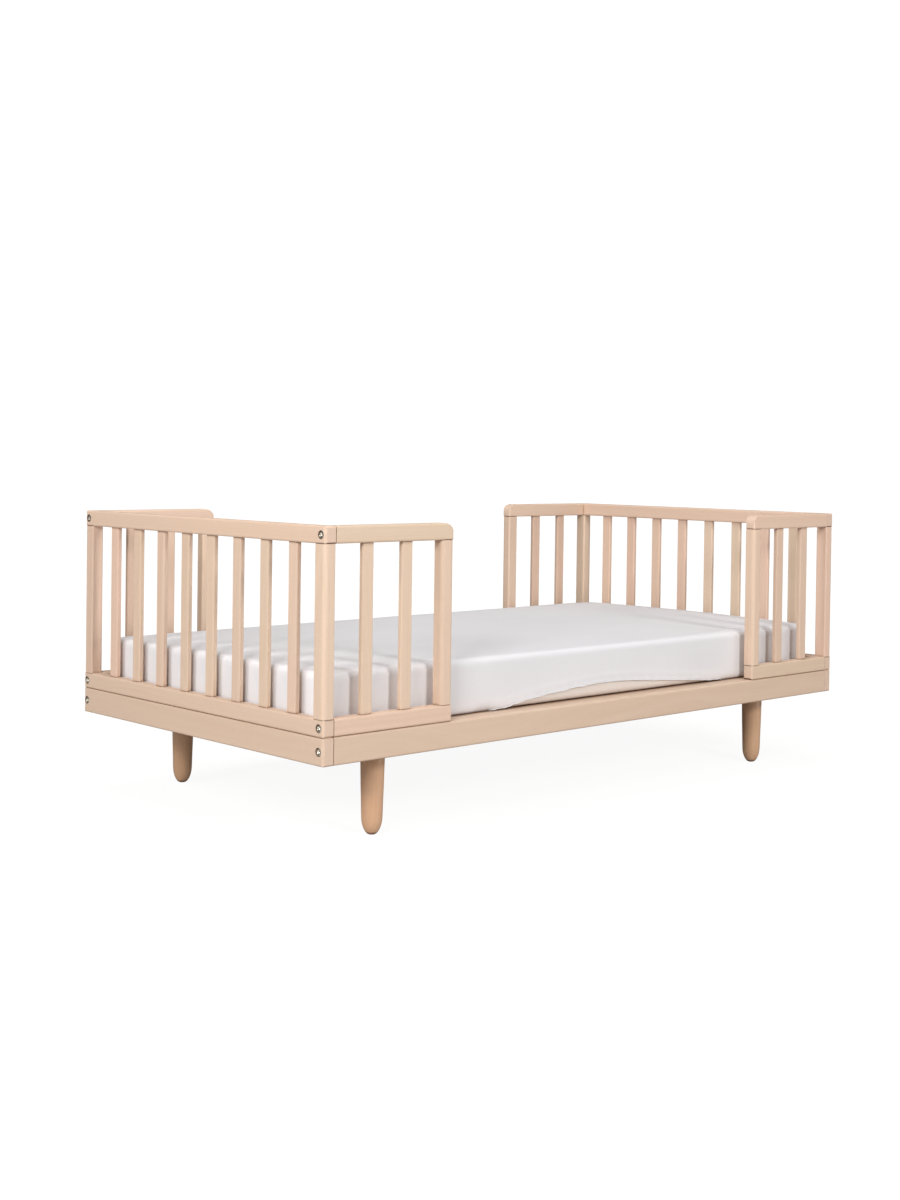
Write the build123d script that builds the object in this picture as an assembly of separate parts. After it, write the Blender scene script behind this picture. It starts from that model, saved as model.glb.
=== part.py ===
from build123d import *

import os
from math import asin, cos, pi, sin, sqrt

# Low slatted junior bed for a 140 x 70 cm mattress, in millimetres.
#
# +X runs along the bed, -Y is the near long side, +Z is up, and the origin is on the floor
# under the middle of the bed. A base frame on four round legs carries a U-shaped slatted
# guard at each end: an end panel and two short returns along the sides. The mattress lies on
# base slats that are flush with the rails' tops, and wears a fitted sheet whose hem has
# ridden up in the middle of the near side.

# Whole bed
bed_length = 1450.0
bed_width = 758.0
floor_gap = 150.0  # floor to the underside of the base rails

# Rails
rail_thickness = 24.0  # end rails and guard rails
base_rail_height = 48.0
base_side_width = 60.0  # the long base rails are wide enough to carry the mattress's edges
guard_rail_height = 30.0
guard_opening = 290.0  # clear height between a guard's bottom and top rails
return_length = 290.0  # from the end's outer face to the free end of a return
rail_arris = 4.0  # rounding of the long edges
rail_corner = 6.0  # upright outer corners of the end rails
end_arris = 3.0  # bevel on the level edges of the end rails' ends
joint_ease = 1.5  # bevel that shows as a fine line where two rails meet
free_corner = 22.0  # big round on the top rail's free end
free_arris = 5.0  # other corners of the free ends

# Posts and slats of the guards
post_width = 28.0
post_round = 8.0  # outer edges
post_arris = 3.0  # other edges
slat_width = 25.0
slat_thickness = 10.0
slat_arris = 2.0
end_slat_count = 8
return_slat_count = 2

# Stub tenons and the mortises they sit in
slat_tenon_width = 18.0
slat_tenon_thickness = 6.0
slat_tenon_length = 9.0
post_tenon_width = 16.0
post_tenon_thickness = 10.0
tenon_fit = 0.1  # clearance on each side
mortise_room = 0.5  # clearance past the tenon's end

# Legs
leg_from_end = 178.0  # leg axis to the end's outer face
leg_from_side = 83.0  # leg axis to the side's outer face
leg_top_diameter = 44.5
leg_low_diameter = 37.0  # where the rounded tip starts
leg_tip_height = 25.0
leg_foot_diameter = 8.0  # flat under the tip
leg_sides = 32
leg_tip_bands = 4

# Beams, ledgers and slats inside the base
beam_width = 90.0
beam_thickness = 28.0
beam_tenon_length = 8.0
beam_tenon_shoulder = 6.0
ledger_width = 18.0
ledger_height = 20.0
ledger_gap = 1.0  # left at a ledger's ends
base_slat_count = 13
base_slat_width = 62.0
base_slat_thickness = 12.0
base_slat_end_gap = 4.0  # first slat to the end rail
base_slat_side_gap = 0.5  # slat's end to the side rail
base_slat_arris = 2.0

# Mattress and fitted sheet, as the sheet's outside measures at the edges
sheet_end_gap = 1.5  # to the end rails
sheet_side_gap = 10.0  # to the returns
sheet_height = 100.0
sheet_corner = 45.0  # upright corners, seen from above
sheet_edge = 25.0  # round of the top and bottom edges
sheet_crown = 4.0  # rise of the top between the long sides
sheet_draw = 3.0  # how far the long sides draw in halfway along
sheet_thickness = 1.2
sheet_clearance = 0.3  # to the mattress, the slats and the rails
sheet_hem = 60.0  # width of the sheet tucked under the mattress
hem_rise = 27.0  # the hem's lift at the middle of the near side
hem_rise_start = -245.0
hem_rise_end = 310.0
hem_arch_start = 2.0  # the arch of the lift starts this far below the sheet

# Fasteners, drawn as bars with a few flat sides and without threads
shank_sides = 8
head_sides = 12
bolt_diameter = 6.0
bolt_head_diameter = 14.5
bolt_head_height = 4.0
bolt_socket = 6.0  # hexagon, across its flats
bolt_socket_depth = 2.5
bolt_sunk = 0.6  # head below the wood's face
bolt_tip = 2.0  # past the insert nut
bolt_wall = 1.7  # wood between a bolt hole and a post's tenon
insert_diameter = 10.0
insert_length = 15.0
insert_room = 4.0  # blind hole past the insert nut
hardware_fit = 0.2
dowel_diameter = 8.0
dowel_length = 34.0
dowel_depth_thin = 14.0  # into the end rail, or up into the guard's bottom rail
dowel_from_side = 40.0
leg_bolt_diameter = 8.0
leg_bolt_head = 13.0  # hexagon, across its flats
leg_bolt_head_height = 5.5
leg_bolt_depth = 45.0  # into the leg

# Levels
base_top = floor_gap + base_rail_height
guard_low = base_top + guard_rail_height
guard_high = guard_low + guard_opening
bed_height = guard_high + guard_rail_height
slat_level = base_top - base_slat_thickness  # tops of the ledgers and beams
beam_low = slat_level - beam_thickness
base_middle = floor_gap + base_rail_height / 2
low_middle = base_top + guard_rail_height / 2
high_middle = guard_high + guard_rail_height / 2

# Places across the plan
half_length = bed_length / 2
half_width = bed_width / 2
end_inner = half_length - rail_thickness
side_inner = half_width - base_side_width
end_middle = half_length - rail_thickness / 2
side_middle = half_width - rail_thickness / 2
free_end = half_length - return_length
beam_x = half_length - leg_from_end
leg_y = half_width - leg_from_side
bolt_radius = bolt_diameter / 2
post_tenon_length = guard_rail_height / 2 - bolt_radius - hardware_fit - bolt_wall
skin_depth = sheet_edge - sheet_thickness / 2
inner_bevel = sheet_edge - sheet_thickness - sqrt(sheet_edge**2 - skin_depth**2)

NEAR, FAR, LEFT, RIGHT = "near", "far", "left", "right"
os.makedirs("parts", exist_ok=True)
parts = {}


def even_places(low, high, count, width):
    """Centres of `count` bars of one width that leave equal gaps between two faces."""
    gap = (high - low - count * width) / (count + 1)
    return [low + gap * (i + 1) + width * (i + 0.5) for i in range(count)]


panel_inner = half_width - post_width
end_slat_places = even_places(-panel_inner, panel_inner, end_slat_count, slat_width)
return_slat_places = even_places(-end_inner, -free_end - post_width, return_slat_count, slat_width)
end_pitch = end_slat_places[1] - end_slat_places[0]
guard_bolt_x = (return_slat_places[-1] + slat_width / 2 - free_end - post_width) / 2


def corner(sketch, x_side, y_side):
    """The vertex of a centred sketch that lies furthest towards one corner."""
    return sketch.vertices().sort_by(lambda v: v.X * x_side + v.Y * y_side)[-1]


def rectangle(width, height, rounds=(), bevels=()):
    """Centred rectangle; each round or bevel is (x side, y side, size)."""
    sketch = Rectangle(width, height)
    for x_side, y_side, size in rounds:
        sketch = fillet(corner(sketch, x_side, y_side), size)
    for x_side, y_side, size in bevels:
        sketch = chamfer(corner(sketch, x_side, y_side), size)
    return sketch


def through(sketch, plane, depth):
    """A sketch on a plane, extruded equally to both sides."""
    return extrude(plane * sketch, depth / 2, both=True)


def all_corners(size):
    return [(x_side, y_side, size) for x_side in (-1, 1) for y_side in (-1, 1)]


def prism(plane, diameter, length, sides=shank_sides):
    """Many-sided bar, as wide as `diameter` over its edges, from a plane along its normal."""
    return extrude(plane * RegularPolygon(diameter / 2, sides), length)


def bore(plane, diameter, depth, sides=shank_sides):
    """Cutter whose flats clear the edges of a prism of the same diameter."""
    flats = RegularPolygon(diameter / 2 + hardware_fit, sides, major_radius=False)
    return extrude(plane * flats, depth)


def mirrored(piece, side_x, side_y):
    """The piece made for the left and near sides, moved to any of the four corners."""
    if side_x == RIGHT:
        piece = mirror(piece, Plane.YZ)
    if side_y == FAR:
        piece = mirror(piece, Plane.XZ)
    return piece


def bolt_plane(level):
    """Where a connector bolt enters the left end near its near corner, pointing into the wood."""
    return Plane(origin=(-half_length, -side_middle, level), x_dir=(0, 1, 0), z_dir=(1, 0, 0))


def guard_bolt_plane():
    """Where a guard bolt enters the underside of the near base rail."""
    return Plane(origin=(guard_bolt_x, -side_middle, floor_gap), x_dir=(1, 0, 0), z_dir=(0, 0, 1))


def connector_bolt(plane, wood):
    """Cap head with a hexagon socket; the shank passes `wood` and an insert nut."""
    head_plane = plane.offset(bolt_sunk)
    head = prism(head_plane, bolt_head_diameter, bolt_head_height, head_sides)
    hexagon = RegularPolygon(bolt_socket / 2, 6, major_radius=False)
    shank_length = wood + insert_length + bolt_tip - bolt_sunk - bolt_head_height
    shank = prism(head_plane.offset(bolt_head_height), bolt_diameter, shank_length)
    return head - extrude(head_plane * hexagon, bolt_socket_depth) + shank


def bolt_hole(plane, wood):
    """Counterbore for the head and clearance for the shank, through `wood`."""
    seat = bore(plane, bolt_head_diameter, bolt_sunk + bolt_head_height, head_sides)
    return seat + bore(plane, bolt_diameter, wood)


def insert_nut(plane):
    """Threaded sleeve, flush with the face that it is set in."""
    hole = bore(plane, bolt_diameter, insert_length)
    return prism(plane, insert_diameter, insert_length) - hole


def insert_pocket(plane):
    return bore(plane, insert_diameter, insert_length + insert_room)


def stub(width_x, width_y, length, at, low, grow=0.0):
    """Rectangular tenon between two levels, or its mortise when grown."""
    section = Rectangle(width_x + 2 * grow, width_y + 2 * grow)
    return Pos(at[0], at[1], low) * extrude(section, length)


def mortise_pair(width_x, width_y, length, at):
    """Mortises down into the bottom rail and up into the top rail."""
    depth = length + mortise_room
    low = stub(width_x, width_y, depth, at, guard_low - depth, tenon_fit)
    return [low, stub(width_x, width_y, depth, at, guard_high, tenon_fit)]


def upright(section, width_x, width_y, tenon_length, at):
    """Post or slat between a guard's rails, with a stub tenon at each end."""
    shaft = Pos(at[0], at[1], guard_low) * extrude(section, guard_opening)
    full = guard_opening + 2 * tenon_length
    return shaft + stub(width_x, width_y, full, at, guard_low - tenon_length)


def corner_post_at():
    return -end_middle, -half_width + post_width / 2


def return_post_at():
    return -free_end - post_width / 2, -side_middle


def corner_post():
    """Its outer edge is the bed's upright corner, so that one is rounded most."""
    rounds = [(-1, -1, post_round), (-1, 1, post_arris)]
    bevels = [(1, -1, post_arris), (1, 1, post_arris)]
    section = rectangle(rail_thickness, post_width, rounds, bevels)
    return upright(section, post_tenon_thickness, post_tenon_width, post_tenon_length, corner_post_at())


def return_post():
    rounds = [(-1, -1, post_round), (1, -1, post_round)]
    bevels = [(-1, 1, post_arris), (1, 1, post_arris)]
    section = rectangle(post_width, rail_thickness, rounds, bevels)
    return upright(section, post_tenon_width, post_tenon_thickness, post_tenon_length, return_post_at())


def end_slat(y):
    section = rectangle(slat_thickness, slat_width, bevels=all_corners(slat_arris))
    return upright(section, slat_tenon_thickness, slat_tenon_width, slat_tenon_length, (-end_middle, y))


def return_slat(x):
    section = rectangle(slat_width, slat_thickness, bevels=all_corners(slat_arris))
    return upright(section, slat_tenon_width, slat_tenon_thickness, slat_tenon_length, (x, -side_middle))


def end_mortises():
    """Mortises for the uprights of the left end panel."""
    cutters = []
    for y in end_slat_places:
        cutters += mortise_pair(slat_tenon_thickness, slat_tenon_width, slat_tenon_length, (-end_middle, y))
    x, y = corner_post_at()
    for side in (-1, 1):
        cutters += mortise_pair(post_tenon_thickness, post_tenon_width, post_tenon_length, (x, y * side))
    return cutters


def return_mortises():
    """Mortises for the uprights of the left near return."""
    cutters = mortise_pair(post_tenon_width, post_tenon_thickness, post_tenon_length, return_post_at())
    for x in return_slat_places:
        at = (x, -side_middle)
        cutters += mortise_pair(slat_tenon_width, slat_tenon_thickness, slat_tenon_length, at)
    return cutters


def end_rail(height, middle, cutters):
    """Rail across the left end: rounded along its length and at both outer corners."""
    section = rectangle(rail_thickness, height, all_corners(rail_arris))
    face = rectangle(bed_width, height, bevels=all_corners(end_arris))
    rounds = [(-1, -1, rail_corner), (-1, 1, rail_corner)]
    bevels = [(1, -1, joint_ease), (1, 1, joint_ease)]
    plan = rectangle(rail_thickness, bed_width, rounds, bevels)
    bar = through(section, Plane.XZ, bed_width) & through(face, Plane.YZ, rail_thickness)
    bar = Pos(-end_middle, 0, middle) * (bar & through(plan, Plane.XY, height))
    hole = bolt_hole(bolt_plane(middle), rail_thickness)
    return bar - [hole, mirror(hole, Plane.XZ)] - cutters


def return_rail(middle, top_round, cutters):
    """Guard rail along the near side, from the left end rail to its free end."""
    length = return_length - rail_thickness
    section = rectangle(rail_thickness, guard_rail_height, all_corners(rail_arris))
    face = rectangle(length, guard_rail_height, [(1, 1, top_round)], [(1, -1, end_arris)])
    plan = rectangle(length, rail_thickness, [(1, -1, free_arris), (1, 1, free_arris)])
    bar = through(section, Plane.YZ, length) & through(face, Plane.XZ, rail_thickness)
    bar = bar & through(plan, Plane.XY, guard_rail_height)
    bar = Pos(-end_inner + length / 2, -side_middle, middle) * bar
    return bar - insert_pocket(bolt_plane(middle).offset(rail_thickness)) - cutters


def joint_dowel(plane, cutter=False):
    """Dowel that crosses the plane, `dowel_depth_thin` of it on the far side; or its hole."""
    room = mortise_room if cutter else 0.0
    shape = bore if cutter else prism
    start = plane.offset(dowel_depth_thin - dowel_length - room)
    return shape(start, dowel_diameter, dowel_length + 2 * room)


def base_dowel_planes():
    """Dowels between a side rail's end and the left end rail, on both sides."""
    y = half_width - dowel_from_side
    origins = [(-end_inner, y * side, base_middle) for side in (-1, 1)]
    return [Plane(origin, x_dir=(0, 1, 0), z_dir=(-1, 0, 0)) for origin in origins]


def guard_dowel_planes():
    """Dowels that locate the end panel on the base, each in a gap between slats."""
    places = (end_slat_places[1] + end_pitch / 2, end_slat_places[-2] - end_pitch / 2)
    return [Plane(origin=(-end_middle, y, base_top)) for y in places]


def beam_tenon(grow=0.0):
    """Tenon of the left leg beam in the near side rail, or its mortise when grown."""
    room = mortise_room if grow else 0.0
    width = beam_width - 2 * beam_tenon_shoulder + 2 * grow
    height = beam_thickness - 2 * beam_tenon_shoulder + 2 * grow
    block = Box(width, beam_tenon_length + room, height, align=(Align.CENTER, Align.MAX, Align.CENTER))
    return Pos(-beam_x, -side_inner, beam_low + beam_thickness / 2) * block


def base_side_rail():
    """Long rail on the near side, between the two end rails."""
    rounds = [(-1, -1, rail_arris), (-1, 1, rail_arris)]
    bevels = [(1, -1, base_slat_arris), (1, 1, base_slat_arris)]
    section = rectangle(base_side_width, base_rail_height, rounds, bevels)
    rail = through(section, Plane.YZ, 2 * end_inner)
    rail = Pos(0, -half_width + base_side_width / 2, base_middle) * rail
    near_dowel = joint_dowel(base_dowel_planes()[0], cutter=True)
    left_cuts = [insert_pocket(bolt_plane(base_middle).offset(rail_thickness)), near_dowel,
                 beam_tenon(tenon_fit), bolt_hole(guard_bolt_plane(), base_rail_height)]
    return rail - left_cuts - [mirror(cut, Plane.YZ) for cut in left_cuts]


def turned(profile, sides):
    """Turned solid about the Z axis, drawn with flats, from (radius, height) pairs."""
    turns = [2 * pi * i / sides for i in range(sides)]
    rings = [[Vector(r * cos(turn), r * sin(turn), z) for turn in turns] for r, z in profile]
    outlines = [rings[0], rings[-1]]
    for upper, lower in zip(rings, rings[1:]):
        for i in range(sides):
            outlines.append([upper[i - 1], upper[i], lower[i], lower[i - 1]])
    return Solid(Shell([Face(Wire.make_polygon(points)) for points in outlines]))


def leg():
    """A slow taper, then half an ellipse down to a small foot."""
    low = leg_low_diameter / 2
    foot_angle = asin(leg_foot_diameter / 2 / low)
    profile = [(leg_top_diameter / 2, beam_low)]
    for i in range(leg_tip_bands + 1):
        angle = pi / 2 - (pi / 2 - foot_angle) * i / leg_tip_bands
        height = leg_tip_height * (1 - cos(angle) / cos(foot_angle))
        profile.append((low * sin(angle), height))
    joint = leg_bolt_plane().offset(beam_thickness)
    hole = bore(joint, leg_bolt_diameter, leg_bolt_depth + insert_room)
    return Pos(-beam_x, -leg_y, 0) * turned(profile, leg_sides) - hole


def leg_bolt_plane():
    """Top face of the left leg beam over the near leg, pointing down."""
    return Plane(origin=(-beam_x, -leg_y, slat_level), x_dir=(1, 0, 0), z_dir=(0, 0, -1))


def leg_bolt():
    """Hexagon-headed bolt, sunk in the beam and driven down into the leg."""
    start = leg_bolt_plane().offset(hardware_fit)
    head = extrude(start * RegularPolygon(leg_bolt_head / 2, 6, major_radius=False), leg_bolt_head_height)
    shank_length = beam_thickness - leg_bolt_head_height + leg_bolt_depth
    return head + prism(start.offset(leg_bolt_head_height), leg_bolt_diameter, shank_length)


def leg_beam():
    """Beam across the base over a pair of legs, housed in both side rails."""
    beam = Pos(-beam_x, 0, beam_low + beam_thickness / 2) * Box(beam_width, 2 * side_inner, beam_thickness)
    tenon = beam_tenon()
    head_room = leg_bolt_head / 2 * 2 / sqrt(3) + hardware_fit
    seat = RegularPolygon(head_room, 8, major_radius=False)
    seat = extrude(leg_bolt_plane() * seat, leg_bolt_head_height + hardware_fit)
    hole = seat + bore(leg_bolt_plane(), leg_bolt_diameter, beam_thickness)
    return beam + [tenon, mirror(tenon, Plane.XZ)] - [hole, mirror(hole, Plane.XZ)]


def ledgers():
    """Strips inside the side rails that carry the base slats, cut around the beams."""
    outer = end_inner - ledger_gap
    beam_outside = beam_x + beam_width / 2 + ledger_gap
    beam_inside = beam_x - beam_width / 2 - ledger_gap
    spans = [(-outer, -beam_outside), (-beam_inside, beam_inside), (beam_outside, outer)]
    strips = []
    for low, high in spans:
        for side in (-1, 1):
            y = side * (side_inner - ledger_width / 2)
            strip = Box(high - low, ledger_width, ledger_height)
            strips.append(Pos((low + high) / 2, y, slat_level - ledger_height / 2) * strip)
    return strips


def base_slats():
    length = 2 * (side_inner - base_slat_side_gap)
    bevels = [(-1, 1, base_slat_arris), (1, 1, base_slat_arris)]
    section = rectangle(base_slat_width, base_slat_thickness, bevels=bevels)
    slat = through(section, Plane.XZ, length)
    first = -end_inner + base_slat_end_gap + base_slat_width / 2
    pitch = -2 * first / (base_slat_count - 1)
    level = base_top - base_slat_thickness / 2
    return [Pos(first + i * pitch, 0, level) * slat for i in range(base_slat_count)]


def bedding_block(inset, rounded):
    """Crowned block with drawn-in long sides, `inset` inside the sheet's outer face."""
    half_x = end_inner - sheet_end_gap - inset
    half_y = half_width - rail_thickness - sheet_side_gap - inset
    low = base_top + sheet_clearance + inset
    high = base_top + sheet_clearance + sheet_height - inset
    near = ThreePointArc((-half_x, -half_y), (0, -half_y + sheet_draw), (half_x, -half_y))
    far = ThreePointArc((half_x, half_y), (0, half_y - sheet_draw), (-half_x, half_y))
    plan = make_face([near, far, Line(near @ 1, far @ 0), Line(far @ 1, near @ 0)])
    plan = fillet(plan.vertices(), sheet_corner - inset)
    crown = ThreePointArc((half_y, high), (0, high + sheet_crown), (-half_y, high))
    sides = Polyline((-half_y, high), (-half_y, low), (half_y, low), (half_y, high))
    section = make_face(Plane.YZ * (crown + sides))
    block = extrude(section, half_x, both=True) & Pos(0, 0, low) * extrude(plan, 2 * sheet_height)
    for face in (block.faces().sort_by(Axis.Z)[-1], block.faces().sort_by(Axis.Z)[0]):
        if rounded:
            block = fillet(face.edges(), sheet_edge)
        else:
            block = chamfer(face.edges(), inner_bevel)
    return block


def fitted_sheet():
    """Thin cover, open underneath inside its hem, with the hem risen on the near side."""
    hem_x = end_inner - sheet_end_gap - sheet_hem
    hem_y = half_width - rail_thickness - sheet_side_gap - sheet_hem
    mouth = rectangle(2 * hem_x, 2 * hem_y, all_corners(sheet_corner))
    mouth = Pos(0, 0, base_top) * extrude(mouth, sheet_edge)
    arch_low = base_top + sheet_clearance - hem_arch_start
    arch_high = base_top + sheet_clearance + hem_rise
    middle = (hem_rise_start + hem_rise_end) / 2
    arch = ThreePointArc((hem_rise_start, arch_low), (middle, arch_high), (hem_rise_end, arch_low))
    lift = Pos(0, -hem_y, 0) * make_face(Plane.XZ * (arch + Line(arch @ 1, arch @ 0)))
    lift = extrude(lift, 2 * sheet_hem, dir=(0, -1, 0))
    return bedding_block(0.0, True) - bedding_block(sheet_thickness, False) - mouth - lift


# End panels
panel_cuts = end_mortises()
guard_dowel_cuts = [joint_dowel(plane, cutter=True) for plane in guard_dowel_planes()]
base_dowel_cuts = [joint_dowel(plane, cutter=True) for plane in base_dowel_planes()]
end_top = end_rail(guard_rail_height, high_middle, panel_cuts)
end_bottom = end_rail(guard_rail_height, low_middle, panel_cuts + guard_dowel_cuts)
base_end = end_rail(base_rail_height, base_middle, guard_dowel_cuts + base_dowel_cuts)
for side_x in (LEFT, RIGHT):
    parts[f"{side_x}_end_top_rail"] = mirrored(end_top, side_x, NEAR)
    parts[f"{side_x}_end_bottom_rail"] = mirrored(end_bottom, side_x, NEAR)
    parts[f"{side_x}_base_end_rail"] = mirrored(base_end, side_x, NEAR)
    for number, y in enumerate(end_slat_places, start=1):
        parts[f"{side_x}_end_slat_{number}"] = mirrored(end_slat(y), side_x, NEAR)

# Returns, posts and legs, one set at each corner
return_cuts = return_mortises()
return_top = return_rail(high_middle, free_corner, return_cuts)
insert_cut = insert_pocket(guard_bolt_plane().offset(base_rail_height))
return_bottom = return_rail(low_middle, free_arris, return_cuts + [insert_cut])
return_slats = Compound([return_slat(x) for x in return_slat_places])
one_leg = leg()
for side_x in (LEFT, RIGHT):
    for side_y in (NEAR, FAR):
        place = f"{side_x}_{side_y}"
        parts[f"{place}_corner_post"] = mirrored(corner_post(), side_x, side_y)
        parts[f"{place}_return_post"] = mirrored(return_post(), side_x, side_y)
        parts[f"{place}_return_top_rail"] = mirrored(return_top, side_x, side_y)
        parts[f"{place}_return_bottom_rail"] = mirrored(return_bottom, side_x, side_y)
        parts[f"{place}_return_slats"] = mirrored(return_slats, side_x, side_y)
        parts[f"{place}_leg"] = mirrored(one_leg, side_x, side_y)

# Base
side_rail = base_side_rail()
for side_y in (NEAR, FAR):
    parts[f"{side_y}_base_side_rail"] = mirrored(side_rail, LEFT, side_y)
for side_x in (LEFT, RIGHT):
    parts[f"{side_x}_leg_beam"] = mirrored(leg_beam(), side_x, NEAR)
parts["slat_ledgers"] = Compound(ledgers())
parts["base_slats"] = Compound(base_slats())

# Fasteners, each kind a group of separate solids
corners = [(side_x, side_y) for side_x in (LEFT, RIGHT) for side_y in (NEAR, FAR)]
levels = (base_middle, low_middle, high_middle)
bolts = [connector_bolt(bolt_plane(level), rail_thickness) for level in levels]
inserts = [insert_nut(bolt_plane(level).offset(rail_thickness)) for level in levels]
inserts.append(insert_nut(guard_bolt_plane().offset(base_rail_height)))
guard_bolt = connector_bolt(guard_bolt_plane(), base_rail_height)
dowels = [joint_dowel(base_dowel_planes()[0]), joint_dowel(guard_dowel_planes()[0])]
parts["connector_bolts"] = Compound([mirrored(bolt, *place) for bolt in bolts for place in corners])
parts["insert_nuts"] = Compound([mirrored(nut, *place) for nut in inserts for place in corners])
parts["guard_bolts"] = Compound([mirrored(guard_bolt, *place) for place in corners])
parts["joint_dowels"] = Compound([mirrored(dowel, *place) for dowel in dowels for place in corners])
parts["leg_bolts"] = Compound([mirrored(leg_bolt(), *place) for place in corners])

# Bedding
parts["mattress"] = bedding_block(sheet_thickness + sheet_clearance, False)
parts["fitted_sheet"] = fitted_sheet()

for name, shape in parts.items():
    export_step(shape, f"parts/{name}.step")
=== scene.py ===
"""Looks of the junior bed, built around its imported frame. Lengths are in metres.

+X runs along the bed, -Y is the near long side and +Z is up. Wooden nodes keep their CAD shape
and get a beech material whose grain follows the piece. Legs, bolts, mattress and fitted sheet
are modelled here.
"""

import math
import random

import bmesh
import bpy
from mathutils import Matrix, Vector, noise


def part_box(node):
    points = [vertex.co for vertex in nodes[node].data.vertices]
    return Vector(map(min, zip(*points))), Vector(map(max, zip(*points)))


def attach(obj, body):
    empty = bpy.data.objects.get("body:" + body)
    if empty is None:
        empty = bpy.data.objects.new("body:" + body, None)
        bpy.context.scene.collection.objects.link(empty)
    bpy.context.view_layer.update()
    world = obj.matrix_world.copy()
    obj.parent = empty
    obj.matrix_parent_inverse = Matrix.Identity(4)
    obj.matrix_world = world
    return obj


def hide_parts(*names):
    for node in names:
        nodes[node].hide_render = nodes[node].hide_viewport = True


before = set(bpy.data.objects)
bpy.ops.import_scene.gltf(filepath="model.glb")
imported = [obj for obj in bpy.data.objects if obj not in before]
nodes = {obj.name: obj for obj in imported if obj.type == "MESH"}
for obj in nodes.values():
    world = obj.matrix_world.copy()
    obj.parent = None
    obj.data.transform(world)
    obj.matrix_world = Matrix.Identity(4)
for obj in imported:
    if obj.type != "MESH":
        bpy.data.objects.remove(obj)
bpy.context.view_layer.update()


def rgb(red, green, blue):
    return (red, green, blue, 1.0)


# Camera, as fitted to the photograph
CAMERA_PLACE = Vector((-2.4107, -2.4919, 0.6670))
CAMERA_YAW = math.radians(47.107)  # from +X towards +Y
CAMERA_PITCH = math.radians(-0.867)
CAMERA_ROLL = math.radians(0.779)
IMAGE_HEIGHT = 1200
FOCAL_PIXELS = 1644.9
CENTRE_Y = 480  # image row of the optical axis
SENSOR = 36.0  # millimetres, along the image's height

# Legs: radius at each height, as measured on the near left leg
LEG_PROFILE = (
    (0.0036, 0.0000), (0.0062, 0.0006), (0.0084, 0.0018), (0.0108, 0.0042), (0.0126, 0.0068),
    (0.0143, 0.0100), (0.0160, 0.0142), (0.0173, 0.0188), (0.0182, 0.0236), (0.0187, 0.0290),
    (0.0191, 0.0400), (0.0196, 0.0600), (0.0205, 0.0870), (0.0213, 0.1220), (0.02225, 0.1580),
)
LEG_SIDES = 72

# Connector bolts: cap heads with a hexagon socket, sunk a little into the end rails
HEAD_RADIUS = 0.00725
HEAD_HEIGHT = 0.0040
HEAD_EDGE = 0.0007  # rounding of the rim
HEAD_DOME = 0.0005
HEAD_SUNK = 0.0006
SOCKET = 0.0030  # centre to a flat
SOCKET_EASE = 0.0005
SOCKET_DEPTH = 0.0032
SOCKET_POINT = 0.0008  # the drill's point below the socket's floor
SHANK_RADIUS = 0.0030
SHANK_TAPER = 0.001
CONNECTOR_LENGTH = 0.0370  # head and shank behind the rail's face
HEAD_SIDES = 48
EDGE_STEPS = 4

# Fitted sheet and mattress
SHEET_CORNER = 0.045  # upright corners, seen from above
TOP_EDGE = 0.012  # rounds of the top and bottom edges
LOW_EDGE = 0.012
SHEET_CROWN = 0.004  # rise of the top's middle
SHEET_DRAW = 0.003  # how far the long sides draw in at mid-length
SHEET_THICKNESS = 0.0009
SHEET_UNDER = 0.060  # hem tucked under the mattress
FLAT_BELOW = 0.002  # where the sheet lies on the slats, it has no folds
MATTRESS_INSET = 0.0016  # from the sheet's outside to the ticking
MATTRESS_SINK = 0.0012  # from the sheet's underside to the ticking
GRID_STEP = 0.0095
CORNER_STEPS = 12
WRAP_ROWS = 30
TOP_ROWS = (0.0, 0.25, 0.5, 0.75)  # shares of the way from the round's start to the corner's centre
HEM_TUBE = 0.0017  # radius of the rolled elastic edge
HEM_TUBE_SIDES = 8
HEM_FLATNESS = 0.6
# The hem where it has ridden up on the near side: x, and its height over the mattress's underside
HEM_HEIGHTS = (
    (-0.300, 0.0015), (-0.272, 0.0040), (-0.248, 0.0075), (-0.215, 0.0128), (-0.140, 0.0200),
    (-0.070, 0.0252), (-0.009, 0.0278), (0.060, 0.0268), (0.111, 0.0236), (0.173, 0.0184),
    (0.225, 0.0142), (0.262, 0.0114), (0.300, 0.0086), (0.345, 0.0046), (0.385, 0.0010),
)
HEM_RUN_OUT = 0.045  # past these, the hem turns under the mattress
# Soft folds on top: start, end, half width and height
TOP_FOLDS = (
    ((0.34, -0.322), (0.66, -0.326), 0.006, 0.0026),
    ((0.40, -0.304), (0.64, -0.312), 0.009, 0.0018),
    ((-0.66, -0.26), (-0.50, -0.33), 0.012, 0.0011),
    ((0.52, 0.20), (0.68, 0.31), 0.012, 0.0011),
    ((-0.52, 0.24), (-0.67, 0.31), 0.012, 0.0012),
)

# Wood and metal
PAINTED_SHADE_REACH = 0.009  # painted shade darkens the wood this far into the joints
METAL_PAINTED_SHADE_REACH = 0.0035  # and painted shade darkens the metal, nearly to black, this far into the sockets and round the heads
RINGS_PER_METRE = 300.0
RING_SHARE, STREAK_SHARE, BAND_SHARE = 0.34, 0.38, 0.28  # in the change from pale to deep wood
FIBRE_SHARE, FLECK_SHARE, PORE_SHARE, END_SHARE = 0.16, 0.42, 0.45, 0.65
WARM, YELLOW = rgb(1.025, 0.958, 0.930), rgb(0.998, 1.020, 0.950)
WOOD_SHIFT = (0.05, 0.11)  # how far a piece lies from the heart of its tree, along each axis
WOOD_TONE = (0.955, 1.035)  # how dark or light it is
SOFT_EDGE = 0.0009
EDGE_ANGLE = math.radians(28)  # sharper edges than this are sanded
WELD_REACH = 0.00002
METAL_NODES = ("connector_bolts", "guard_bolts", "insert_nuts", "leg_bolts")
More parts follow.
